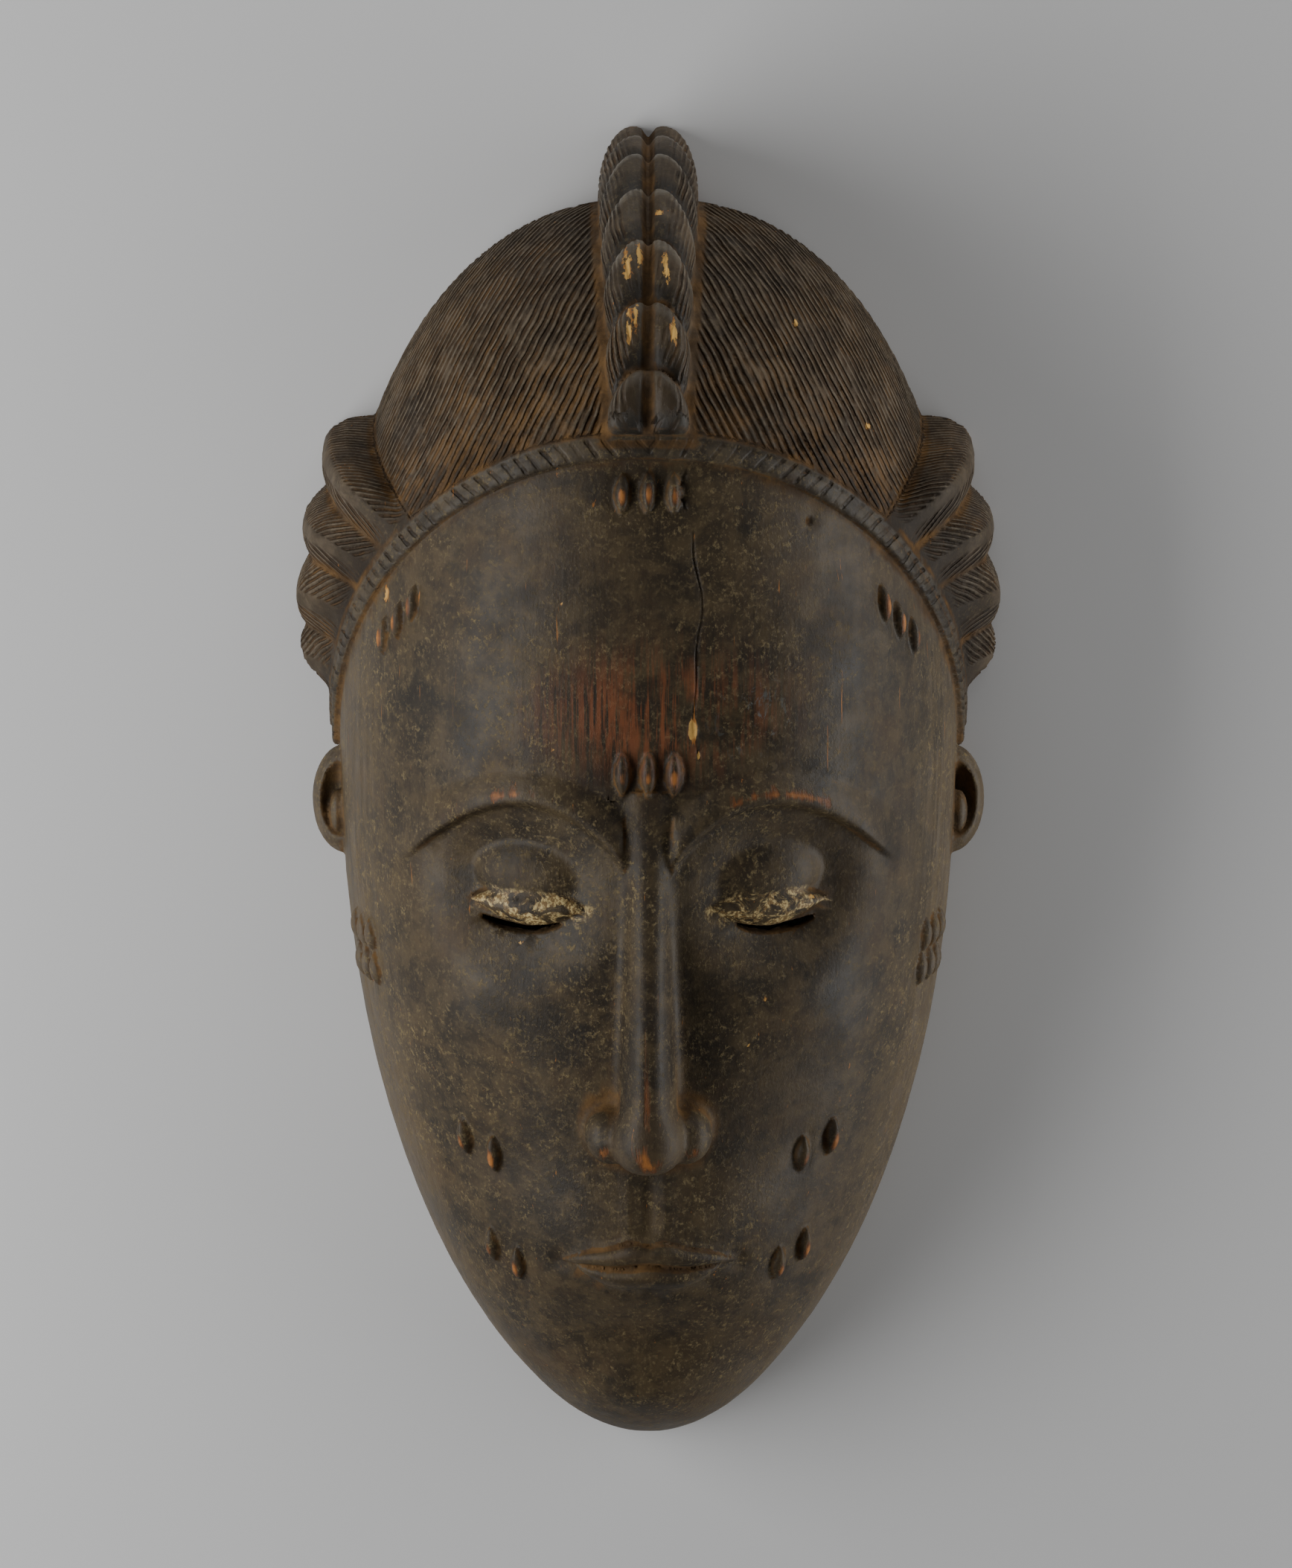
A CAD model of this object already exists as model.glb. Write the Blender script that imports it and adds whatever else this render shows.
"""A carved wooden mask lying face up: fine carving, patina, floor, light and camera."""
import math
import time

import bpy
import numpy as np
from mathutils import Matrix, Vector


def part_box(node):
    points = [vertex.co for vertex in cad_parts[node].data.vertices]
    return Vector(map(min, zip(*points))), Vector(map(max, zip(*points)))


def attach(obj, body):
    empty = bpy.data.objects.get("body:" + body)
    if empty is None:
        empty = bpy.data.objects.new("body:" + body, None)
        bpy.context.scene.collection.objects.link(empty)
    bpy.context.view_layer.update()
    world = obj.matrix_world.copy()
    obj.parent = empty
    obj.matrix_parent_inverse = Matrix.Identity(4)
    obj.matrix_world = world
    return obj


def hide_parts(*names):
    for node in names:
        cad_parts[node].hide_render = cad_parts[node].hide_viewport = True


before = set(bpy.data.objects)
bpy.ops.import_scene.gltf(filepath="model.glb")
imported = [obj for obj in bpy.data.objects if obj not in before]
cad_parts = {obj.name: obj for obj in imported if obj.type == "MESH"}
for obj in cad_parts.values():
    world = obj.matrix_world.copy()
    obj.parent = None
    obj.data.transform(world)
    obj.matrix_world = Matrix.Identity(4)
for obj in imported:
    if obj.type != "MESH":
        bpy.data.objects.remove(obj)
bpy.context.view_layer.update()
BEGAN = time.time()


def say(*words):
    print("%6.1f s" % (time.time() - BEGAN), *words, flush=True)


# ---------------------------------------------------------------- sizes, mm
HALF_WIDTH, WIDE_Y = 87.0, 20.0
HEIGHT, HIGH_Y = 101.0, 60.0
CROWN_Y, CHIN_Y = 165.0, -187.0
SECTION = 2.2
EYE0 = np.array([0.0, 10.0, 0.0])
WALL_SIDE, WALL_FRONT, WALL_CROWN, WALL_CHIN = 9.5, 11.0, 13.0, 15.0
HAIR_RISE, HAIR_SIDE_Y, TILT = 3.0, 17.0, math.radians(46.1)
BAND_RADIUS, BAND_LIFT = 2.15, 0.5
EDGES = [101.0, 84.5, 66.0, 39.0, 8.0]
CREASE = [1.2, 9.8, 11.5, 10.5, 2.0]
RIDGE = [14.5, 15.0, 14.0, 12.5]
DRIFT = [0.53, 0.75, 0.93, 0.9, 0.3]
RISE_LENGTH = 19.0
CREST_PITCH = 17.6
CREST_HALF = (11.2, 14.0)
CREST_HIGH = (9.5, 21.1)
CREST_NOTCH, CREST_GROOVE, CREST_ARCH = 4.0, 2.6, 9.5
HAIRLINE_Y = 114.0
THIRD = (HAIRLINE_Y - CHIN_Y) / 3
BROW_Y, NOSE_Y = HAIRLINE_Y - THIRD, HAIRLINE_Y - 2 * THIRD
EYE_Y, EYE_X = (CROWN_Y + 3 + CHIN_Y) / 2, 2 * HALF_WIDTH / 5
MOUTH_Y = HAIRLINE_Y - 2 * THIRD - THIRD / 3
EAR_Y, EAR_TALL, EAR_OUT, EAR_Z0, EAR_Z1 = -1.0, 31.0, 8.2, 6.0, 17.0
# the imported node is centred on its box
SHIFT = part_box("mask")[0][1] * 1000 - CHIN_Y


def smooth(a, b, t):
    u = np.clip((t - a) / (b - a), 0, 1)
    return u * u * (3 - 2 * u)


def lerp(a, b, t):
    return a + (b - a) * t


def smin(a, b, k):
    h = np.clip(0.5 + 0.5 * (b - a) / k, 0, 1)
    return b + (a - b) * h - k * h * (1 - h)


def smax(a, b, k):
    return -smin(-a, -b, k)


# ---------------------------------------------------------------- the head's egg
def half_width(y):
    t = np.where(y > WIDE_Y, (y - WIDE_Y) / (CROWN_Y - WIDE_Y), (WIDE_Y - y) / (WIDE_Y - CHIN_Y)).clip(0, 0.99999)
    return HALF_WIDTH * np.where(y > WIDE_Y, (1 - t**2.15) ** (1 / 2.35), (1 - t**2.2) ** (1 / 1.75))


def height_at(y):
    t = np.where(y > HIGH_Y, (y - HIGH_Y) / (CROWN_Y - HIGH_Y), (HIGH_Y - y) / (HIGH_Y - CHIN_Y)).clip(0, 0.99999)
    return HEIGHT * np.where(y > HIGH_Y, (1 - t**2.6) ** (1 / 2.6), (1 - t**2.1) ** (1 / 2.1))


def in_egg(p):
    y = p[..., 1]
    body = (np.abs(p[..., 0]) / half_width(y)) ** SECTION + (np.abs(p[..., 2]) / height_at(y)) ** SECTION
    return (y < CROWN_Y) & (y > CHIN_Y) & (body < 1)


def reach(start, way):
    """Length from start along way to the egg's skin."""
    a, b = np.zeros(way.shape[:-1]), np.full(way.shape[:-1], 320.0)
    for _ in range(30):
        m = (a + b) / 2
        hit = in_egg(start + way * m[..., None])
        a, b = np.where(hit, m, a), np.where(hit, b, m)
    return (a + b) / 2


def bilinear(table, a, b):
    i = np.clip(a.astype(np.int32), 0, table.shape[0] - 2)
    j = np.clip(b.astype(np.int32), 0, table.shape[1] - 2)
    u, v = np.clip(a - i, 0, 1), np.clip(b - j, 0, 1)
    flat, w = table.ravel(), table.shape[1]
    k = i * w + j
    return (flat[k] * (1 - u) + flat[k + w] * u) * (1 - v) + (flat[k + 1] * (1 - u) + flat[k + w + 1] * u) * v


# radius of the egg seen from EYE0, and the cosine between ray and normal, by polar angle and turn
NP, NT = 541, 181
_polar, _turn = np.meshgrid(np.linspace(0, math.pi, NP), np.linspace(0, math.pi / 2, NT), indexing="ij")
EGG_R = reach(EYE0, np.stack([np.sin(_polar) * np.sin(_turn), np.cos(_polar), np.sin(_polar) * np.cos(_turn)], -1))
_rp, _rt = np.gradient(EGG_R, math.pi / (NP - 1), math.pi / 2 / (NT - 1))
EGG_C = EGG_R / np.sqrt(EGG_R**2 + _rp**2 + (_rt / np.maximum(np.sin(_polar), 0.02)) ** 2)


def egg_distance(x, y, z):
    """About the signed distance to the egg's skin."""
    qy = y - EYE0[1]
    side = np.hypot(x, z)
    a = np.arctan2(side, qy) * ((NP - 1) / math.pi)
    b = np.arctan2(np.abs(x), np.abs(z)) * ((NT - 1) * 2 / math.pi)
    return (np.hypot(side, qy) - bilinear(EGG_R, a, b)) * bilinear(EGG_C, a, b)


def skin_z(x, y):
    w = half_width(y)
    return height_at(y) * np.maximum(0, 1 - (np.abs(x) / w) ** SECTION) ** (1 / SECTION)


# ---------------------------------------------------------------- hair frames
BACK = np.array([0, math.cos(TILT), -math.sin(TILT)])
RISE = np.array([0, math.sin(TILT), math.cos(TILT)])
HC = np.array([0, HAIR_SIDE_Y, 0])
# in each plane square to BACK: radius of the egg by angle from the front
NA, NB = 241, 141
A_MAX, T_MIN, T_MAX = 2.3, -6.0, 120.0
_a, _t = np.meshgrid(np.linspace(0, A_MAX, NA), np.linspace(T_MIN, T_MAX, NB), indexing="ij")
RING_R = reach(HC + BACK * _t[..., None], np.sin(_a)[..., None] * np.array([1.0, 0, 0]) + np.cos(_a)[..., None] * RISE)
_ra = np.gradient(RING_R, A_MAX / (NA - 1), axis=0)
RING_C = RING_R / np.sqrt(RING_R**2 + _ra**2)
# arc length along the hairline from the rim, by angle
_line_a = np.linspace(0, A_MAX, 2001)
_line_r = reach(HC, np.sin(_line_a)[:, None] * np.array([1.0, 0, 0]) + np.cos(_line_a)[:, None] * RISE)
_pts = np.stack([_line_r * np.sin(_line_a), _line_r * np.cos(_line_a)], -1)
_arc = np.r_[0, np.cumsum(np.linalg.norm(np.diff(_pts, axis=0), axis=1))]
LINE_S = np.interp(math.pi / 2, _line_a, _arc) - _arc  # falls with the angle


def ring_frame(x, y, z):
    """t back from the hairline plane, s along it from the rim, height over the egg in the plane."""
    ry, rz = y - HC[1], z - HC[2]
    t = ry * BACK[1] + rz * BACK[2]
    up = ry * RISE[1] + rz * RISE[2]
    a = np.arctan2(np.abs(x), up)
    ia, it = a * ((NA - 1) / A_MAX), (t - T_MIN) * ((NB - 1) / (T_MAX - T_MIN))
    high = (np.hypot(x, up) - bilinear(RING_R, ia, it)) * bilinear(RING_C, ia, it)
    return t, np.interp(a, _line_a, LINE_S), high, a


def braid_frame(t, s):
    """Place across the four lobes, counted along the hairline, and the lobe's true width there."""
    e = [EDGES[i] - DRIFT[i] * t - (0.6 * np.maximum(0, t - 10) if i == 4 else 0) for i in range(5)]
    ss = np.where(s > e[0], EDGES[0] + s - e[0], EDGES[4] + s - e[4])
    wide = np.full(len(s), 20.0)
    for i in range(4):
        gap = np.maximum(e[i] - e[i + 1], 4)
        inside = (s <= e[i]) & (s > e[i + 1])
        ss = np.where(inside, EDGES[i] - (e[i] - s) / gap * (EDGES[i] - EDGES[i + 1]), ss)
        wide = np.where(inside, gap, wide)
    return ss, wide


# crest: arc length along the dome's middle line, and height over it, on a grid of (y, z)
_cy = np.linspace(0, math.pi * 0.8, 1500)
_cd = np.stack([0 * _cy, np.sin(_cy), np.cos(_cy)], -1)
_c0 = np.array([0, 60.0, 0])
_cr = reach(_c0, _cd)
_cp = _c0 + _cd * _cr[:, None]
_cn = np.gradient(_cp[:, 1:], axis=0)
_cn = np.stack([-_cn[:, 1], _cn[:, 0]], -1) / np.linalg.norm(_cn, axis=1)[:, None]
_cm = _cp[:, 1:] + _cn * HAIR_RISE
_keep = ((_cm - HC[1:]) @ BACK[1:] > -0.5) & (_cm[:, 1] > -30)
_cm, _cn = _cm[_keep], _cn[_keep]
_cs = np.r_[0, np.cumsum(np.linalg.norm(np.diff(_cm, axis=0), axis=1))]
CREST_LEN = float(_cs[-1])
GY0, GZ0, GN, GM = 90.0, -32.0, 125, 165
_gy, _gz = np.meshgrid(GY0 + np.arange(GN), GZ0 + np.arange(GM), indexing="ij")
_g = np.stack([_gy.ravel(), _gz.ravel()], -1)
_near = np.empty(len(_g), int)
for _i in range(0, len(_g), 4000):
    _near[_i:_i + 4000] = np.argmin(((_g[_i:_i + 4000, None, :] - _cm[None, ::4, :]) ** 2).sum(-1), axis=1) * 4
_tan = np.stack([_cn[:, 1], -_cn[:, 0]], -1)
_d = _g - _cm[_near]
CREST_S = (_cs[_near] + (_d * _tan[_near]).sum(-1)).reshape(_gy.shape)
CREST_N = (_d * _cn[_near]).sum(-1).reshape(_gy.shape)


def crest_frame(y, z):
    return bilinear(CREST_S, y - GY0, z - GZ0), bilinear(CREST_N, y - GY0, z - GZ0)


def lobe_share(q):
    """How much of the notch is cut at place q in a lobe: 1 at its ends, 0 on its back."""
    return np.interp(q, [0, 0.04, 0.14, 0.3, 0.5, 0.7, 0.85, 0.93, 0.975, 1], [1, 0.86, 0.66, 0.4, 0.16, 0, 0.02, 0.16, 0.5, 1])


# ---------------------------------------------------------------- soft and sharp forms of the face
def hill(u, v):
    return np.exp(-(u * u + v * v))


def bowl(u, v):
    return np.maximum(0, 1 - u * u - v * v) ** 2.1


def brow_line(a):
    u = np.clip((a - 6.5) / 61.5, 0, 1.15)
    return BROW_Y + 7 * np.sin(math.pi * np.clip(u, 0, 1) ** 0.75) - 13 * (1 - u) ** 3 - 17 * u**3


def face_form(x, y):
    a = np.abs(x)
    f = 4.5 * hill(x / 30, (y - MOUTH_Y - 2) / 22)
    f += 4.5 * hill(x / 22, (y - CHIN_Y - 20) / 13)
    f -= 1.6 * hill(x / 24, (y - MOUTH_Y + 24) / 8)
    f += 1.5 * hill((a - 50) / 16, (y - EYE_Y + 34) / 18)
    f -= 2.5 * hill((a - 40) / 20, (y - NOSE_Y + 2) / 28)
    f -= 8.5 * bowl((a - EYE_X - 1) / 31, (y - EYE_Y - 1) / np.where(y > EYE_Y, 27, 34))
    return f


def face_sharp(x, y):
    """Brows, lips and philtrum, as heights over the soft form."""
    a = np.abs(x)
    # brow: a rolled edge, sharp below
    c = brow_line(a)
    slope = (brow_line(a + 0.5) - brow_line(a - 0.5))
    d = (y - c) / np.sqrt(1 + slope**2)
    roll = np.where(d > 0, np.exp(-((d / 5.5) ** 2)), 1 - smooth(0.6, 3.6, -d))
    fade = smooth(3.0, 9.0, a) * (1 - smooth(58, 74, a))
    f = 3.1 * roll * fade
    f -= 0.5 * np.exp(-(((d - 7.5) / 1.2) ** 2)) * fade
    # lips: two rolls that meet in a line
    m = y - MOUTH_Y
    w = np.clip(1 - (a / 24.5) ** 2, 0, 1)
    line = 0.9 * (np.exp(-((x / 5) ** 2)) - 0.55 * np.exp(-(((a - 10) / 6) ** 2)))
    top = line + (6.8 + 0.9 * np.exp(-(((a - 6) / 4) ** 2)) - 1.3 * np.exp(-((x / 3) ** 2))) * w**0.75
    low = line - 8.0 * np.clip(1 - (a / 20.5) ** 2, 0, 1) ** 0.7
    up = np.clip(1 - ((m - (line + top) / 2) / np.maximum((top - line) / 2, 0.01)) ** 2, 0, 1) ** 0.6
    dn = np.clip(1 - ((m - (line + low) / 2) / np.maximum((line - low) / 2, 0.01)) ** 2, 0, 1) ** 0.6
    f += 3.6 * up * w**0.5 + 4.0 * dn * np.clip(1 - (a / 20.5) ** 2, 0, 1) ** 0.5
    f += 0.7 * np.exp(-(((m - top - 0.9) / 0.9) ** 2)) * w
    f -= 1.0 * np.exp(-(((a - 24.5) / 3.0) ** 2 + (m / 3.0) ** 2))
    # philtrum
    up_y = smooth(MOUTH_Y + 8, MOUTH_Y + 12, y) * (1 - smooth(NOSE_Y - 8, NOSE_Y - 1, y))
    f -= 1.1 * np.exp(-((x / 2.8) ** 2)) * up_y
    f += 0.5 * np.exp(-(((a - 5.2) / 1.8) ** 2)) * up_y
    return f


def frame_at(x, y):
    """Point on the soft face at (x, y), with its normal and two ways along the skin."""
    def at(u, v):
        return np.array([u, v, float(skin_z(np.float64(u), np.float64(v)))])
    p, e = at(x, y), 0.5
    du, dv = at(x + e, y) - at(x - e, y), at(x, y + e) - at(x, y - e)
    n = np.cross(du, dv)
    n /= np.linalg.norm(n)
    return p + n * float(face_form(np.float64(x), np.float64(y))), n


def turned(n, along):
    v = along - n * (along @ n)
    v /= np.linalg.norm(v)
    return np.stack([np.cross(v, n), v, n])


def ellipsoid(P, at, axes, size):
    q = (P - at) @ axes.T / size
    r = np.sqrt((q * q).sum(-1))
    g = np.sqrt((q * q / (np.asarray(size) ** 2)).sum(-1)) / np.maximum(r, 1e-6)
    return (r - 1) / np.maximum(g, 1e-6)


# raised marks: centre, axes, half sizes
MARKS = []


def add_mark(x, y, turn=0.0, tall=5.0, wide=2.3, high=2.3):
    p, n = frame_at(x, y)
    MARKS.append((p, turned(n, np.array([math.sin(turn), math.cos(turn), 0.0])), np.array([wide, tall, high])))


for _dx in (-7, 0, 7):
    add_mark(_dx, HAIRLINE_Y - 12 - abs(_dx) * 0.06)
    add_mark(_dx, BROW_Y + 11, tall=5.6, wide=2.5, high=2.6)
for _side in (-1, 1):
    for _i in range(3):
        add_mark(_side * (64.5 + 4.2 * _i), 66 - 5.6 * _i, _side * -0.15, 4.8, 2.1, 2.2)
    for _i in range(2):
        add_mark(_side * (44 + 8 * _i), NOSE_Y - 4 + 4 * _i, _side * -0.12, 5.2, 2.4, 2.5)
        add_mark(_side * (36 + 7.5 * _i), MOUTH_Y - 3 + 4 * _i, _side * -0.16, 5.2, 2.4, 2.5)
    for _row in range(2):
        for _i in range(3):
            _y, _z = -33 - 9.5 * _row, 44 - 6.5 * _i
            _x = _side * float(half_width(np.float64(_y)) * (1 - (_z / height_at(np.float64(_y))) ** SECTION) ** (1 / SECTION))
            _e = 0.5
            _g = np.array([egg_distance(_x + _e, _y, _z) - egg_distance(_x - _e, _y, _z),
                           egg_distance(_x, _y + _e, _z) - egg_distance(_x, _y - _e, _z),
                           egg_distance(_x, _y, _z + _e) - egg_distance(_x, _y, _z - _e)], float).ravel()
            _g /= np.linalg.norm(_g)
            MARKS.append((np.array([_x, _y, _z]), turned(_g, np.array([0.0, 1.0, 0.0])), np.array([2.4, 4.5, 2.3])))

EYE_P, EYE_N = frame_at(EYE_X, EYE_Y)
EYE_AXES = turned(EYE_N, np.array([0.0, 1.0, 0.0]))


def carve(P):
    """About the signed distance to the finished skin, mm, before the fine cuts."""
    x, y, z = P[:, 0], P[:, 1], P[:, 2]
    a = np.abs(x)
    f0 = egg_distance(x, y, z)
    F = f0.copy()
    lift = smooth(4, 30, z) * (1 - smooth(HAIRLINE_Y - 30, HAIRLINE_Y, y))
    k = np.flatnonzero((np.abs(f0) < 24) & (lift > 0) & (z > 4))
    F[k] -= lift[k] * (face_form(x[k], y[k]) + face_sharp(x[k], y[k]))

    # closed lids and the lens of the eye below the lid's edge
    k = np.flatnonzero((np.abs(a - EYE_X) < 30) & (np.abs(y - EYE_Y) < 28) & (z > 50))
    if len(k):
        Q = np.stack([a[k], y[k], z[k]], -1)
        ball = ellipsoid(Q, EYE_P + EYE_AXES[1] * 2.5 - EYE_N * 5.0, EYE_AXES, [19, 12.5, 11.5])
        q = (Q - EYE_P) @ EYE_AXES.T
        # lens: between two arcs, pointed at both corners
        bulge = 1 - (q[:, 0] / 18.6) ** 2
        mid = -5.2
        upper, lower = mid + 4.6 * bulge, mid - 6.6 * bulge
        half = (upper - lower) / 2
        v = (q[:, 1] - (upper + lower) / 2) / np.maximum(half, 0.4)
        top = 3.4 + 3.6 * np.maximum(bulge, 0) - 3.6 * np.clip(v, -1.3, 1.3) ** 2 * 0.9
        lens = np.maximum(q[:, 2] - top, (np.abs(v) - 1) * np.maximum(half, 0.4) * 0.8)
        lens = np.maximum(lens, np.abs(q[:, 0]) - 18.4)
        G = smin(F[k], ball, 1.6)
        F[k] = smin(G, lens, 0.35)

    # nose: a slim ridge that widens to the tip, and two round wings
    k = np.flatnonzero((a < 24) & (y < BROW_Y + 6) & (y > NOSE_Y - 14) & (z > 55))
    if len(k):
        u = (BROW_Y - 3 - y[k]) / (BROW_Y - 3 - NOSE_Y)
        zc = skin_z(np.zeros(len(k)), np.clip(y[k], NOSE_Y, BROW_Y))
        uc = np.clip(u, 0, 1)
        half = lerp(6.4, 9.2, uc**2.0)
        out = lerp(1.5, 19.0, uc**0.95)
        zz = (z[k] - zc + 7) / (out + 7)
        X, Z = np.maximum(a[k] / half, 1e-3), np.maximum(np.abs(zz), 1e-3)
        r = (X**2.4 + Z**2.4) ** (1 / 2.4)
        nose = (r - 1) / np.sqrt(((X / r) ** 1.4 / half) ** 2 + ((Z / r) ** 1.4 / (out + 7)) ** 2)
        nose = smax(nose, NOSE_Y - 0.5 - y[k], 4.5)
        tip = ellipsoid(np.stack([a[k], y[k], z[k]], -1), np.array([0, NOSE_Y + 7.5, float(skin_z(np.float64(0), np.float64(NOSE_Y + 7.5))) + 9.5]), np.eye(3), [9.4, 8.4, 9.0])
        nose = smin(nose, tip, 5.0)
        wing = ellipsoid(np.stack([a[k], y[k], z[k]], -1), np.array([10.6, NOSE_Y + 7.0, float(skin_z(np.float64(10.0), np.float64(NOSE_Y + 7))) + 2.6]), turned(np.array([0.25, 0, 1.0]) / math.hypot(0.25, 1), np.array([0.2, 1.0, 0])), [6.8, 8.0, 8.2])
        G = smin(nose, wing, 2.6)
        hole = ellipsoid(np.stack([a[k], y[k], z[k]], -1), np.array([6.6, NOSE_Y - 1.0, float(skin_z(np.float64(6.6), np.float64(NOSE_Y))) + 5.0]), np.eye(3), [2.6, 3.2, 3.2])
        G = smax(G, -hole, 1.0)
        F[k] = smin(F[k], G, 3.4)

    # hair: a raised cap behind the hairline plane
    t, s, high, ang = ring_frame(x, y, z)
    F = smin(F, smax(f0 - HAIR_RISE, -t, 1.2), 0.6)

    # side braids
    ss, _ = braid_frame(t, s)
    k = np.flatnonzero((t > -1) & (t < 100) & (high < 26) & (high > -10) & (ss > -8) & (ss < EDGES[0] + 4) & (a > 30))
    if len(k):
        e = ss[k]
        knots, vals = [-6.0], [-2.0]
        for i in range(4, -1, -1):
            knots.append(EDGES[i])
            vals.append(CREASE[i])
            if i:
                lo, hi = EDGES[i], EDGES[i - 1]
                for q, share in ((0.09, 0.40), (0.2, 0.74), (0.33, 0.95), (0.45, 1.0), (0.58, 0.94), (0.74, 0.68), (0.89, 0.30)):
                    base = CREASE[i] if q < 0.5 else CREASE[i - 1]
                    knots.append(lerp(lo, hi, q))
                    vals.append(lerp(base, RIDGE[i - 1], share))
        knots.append(EDGES[0] + 3)
        vals.append(-6.0)
        H = np.interp(e, knots, vals) * lerp(0.16, 1, smooth(0, RISE_LENGTH, t[k]))
        B = np.maximum((high[k] - H) * 0.8, 0.5 - t[k])
        F[k] = smin(F[k], B, 1.0)

    # crest
    k = np.flatnonzero((a < 24) & (y > 92) & (y < 212) & (f0 < 34))
    if len(k):
        m, n = crest_frame(y[k], z[k])
        grow = smooth(0, 95, m)
        full = lerp(CREST_HALF[0], CREST_HALF[1], grow)
        share = lobe_share(np.mod((m + CREST_ARCH * np.minimum(a[k] / full, 1.1) ** 2) / CREST_PITCH, 1.0))
        H = lerp(CREST_HIGH[0], CREST_HIGH[1], grow) - CREST_NOTCH * share
        W = lerp(CREST_HALF[0], CREST_HALF[1], grow) - 0.5 * CREST_NOTCH * share
        e = lerp(3.4, 2.55, smooth(0, 60, m))
        X, N = np.maximum(a[k] / W, 1e-4), np.maximum(n / H, 1e-4)
        r = (X**e + N**e) ** (1 / e)
        gx, gn = (X / r) ** (e - 1) / W, (N / r) ** (e - 1) / H
        C = (r - 1) / np.sqrt(gx**2 + gn**2)
        top = smooth(0.35, 0.8, N)
        C += (CREST_GROOVE * np.exp(-((a[k] / 1.5) ** 2)) + 1.1 * np.exp(-((a[k] / 4.2) ** 2))) * top
        C = smax(C, 1.0 - m, 2.5)
        F[k] = smin(F[k], C, 1.2)

    # rolled band along the hairline
    k = np.flatnonzero((np.abs(t + 1.2) < 8) & (np.abs(f0) < 9))
    if len(k):
        R = (np.abs(t[k] + 1.5) ** 3 + np.abs(1.15 * (f0[k] - BAND_LIFT)) ** 3) ** (1 / 3)
        F[k] = smin(F[k], (R - BAND_RADIUS) * 0.9, 0.5)

    # ears
    k = np.flatnonzero((a > 76) & (np.abs(y - EAR_Y) < 24) & (z < 28))
    if len(k):
        Q = np.stack([a[k], y[k], z[k]], -1)
        side = float(half_width(np.float64(EAR_Y)))
        lean = np.array([0.25, 0, 1.0]) / math.hypot(0.25, 1)
        axes = turned(lean, np.array([0, 1.0, 0]))
        shell = ellipsoid(Q, np.array([side - 1.5, EAR_Y, (EAR_Z0 + EAR_Z1) / 2]), axes, [EAR_OUT + 1.4, EAR_TALL / 2, (EAR_Z1 - EAR_Z0) / 2 + 1.4])
        scoop = ellipsoid(Q, np.array([side + 0.9, EAR_Y + 1, EAR_Z1 + 1.6]), axes, [EAR_OUT - 2.6, EAR_TALL / 2 - 4, 6.8])
        knob = ellipsoid(Q, np.array([side + 0.6, EAR_Y - 3, EAR_Z1 - 3]), np.eye(3), [2.6, 6, 3.4])
        E = smin(smax(shell, -scoop, 0.8), knob, 0.8)
        F[k] = smin(F[k], E, 1.0)

    # raised marks, each in a slightly sunk field
    for at, axes, size in MARKS:
        k = np.flatnonzero((np.abs(x - at[0]) < 10) & (np.abs(y - at[1]) < 10) & (np.abs(z - at[2]) < 10))
        if not len(k):
            continue
        q = (P[k] - at) @ axes.T
        v = np.abs(q[:, 1]) / (size[1] * 1.2)
        rho = np.sqrt((q[:, 0] / size[0]) ** 2 + (q[:, 1] / size[1]) ** 2)
        almond = size[0] * np.maximum(1 - v**1.9, 0.02)
        moat = 0.2 * np.exp(-(((rho - 1.35) / 0.34) ** 2))
        bump = size[2] * np.clip(1 - (q[:, 0] / almond) ** 2, 0, 1) ** 0.7 * np.clip(1 - v**2.2, 0, 1) ** 0.8
        F[k] += moat - bump
    return F


def hollow(P):
    """Signed distance to the hollow's wall, negative in the hollow."""
    lo, hi = CHIN_Y + WALL_CHIN, CROWN_Y - WALL_CROWN
    kx, kz = (HALF_WIDTH - WALL_SIDE) / HALF_WIDTH, (HEIGHT - WALL_FRONT) / HEIGHT
    ky = (hi - lo) / (CROWN_Y - CHIN_Y)
    x, y, z = P[:, 0] / kx, CHIN_Y + (P[:, 1] - lo) / ky, P[:, 2] / kz
    return egg_distance(x, y, z) * 0.9


def slits(P):
    """Crescent sight slits under the lids."""
    a = np.abs(P[:, 0])
    u = (a - EYE_X) / 11.5
    c = EYE_Y - 12.6 + 2.6 * u * u
    h = 1.25 * np.sqrt(np.clip(1 - np.abs(u) ** 3, 0, 1))
    d = np.maximum(np.abs(P[:, 1] - c) - h, (np.abs(u) - 1) * 11.5)
    return np.maximum(d, 58 - P[:, 2])


def field(P):
    F = carve(P)
    F = smax(F, -hollow(P), 0.5)
    F = np.maximum(F, -slits(P))
    return smax(F, -P[:, 2], 0.35)


def in_chunks(fn, P, n=250000):
    return np.concatenate([fn(P[i:i + n]) for i in range(0, len(P), n)])


def gradient(P, e=0.08):
    """Slope of the field by four looks."""
    T = np.array([[1, -1, -1], [-1, -1, 1], [-1, 1, -1], [1, 1, 1]], float)
    G = np.zeros_like(P)
    for v in T:
        G += v * in_chunks(field, P + v * e)[:, None]
    return G / (4 * e)


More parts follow.
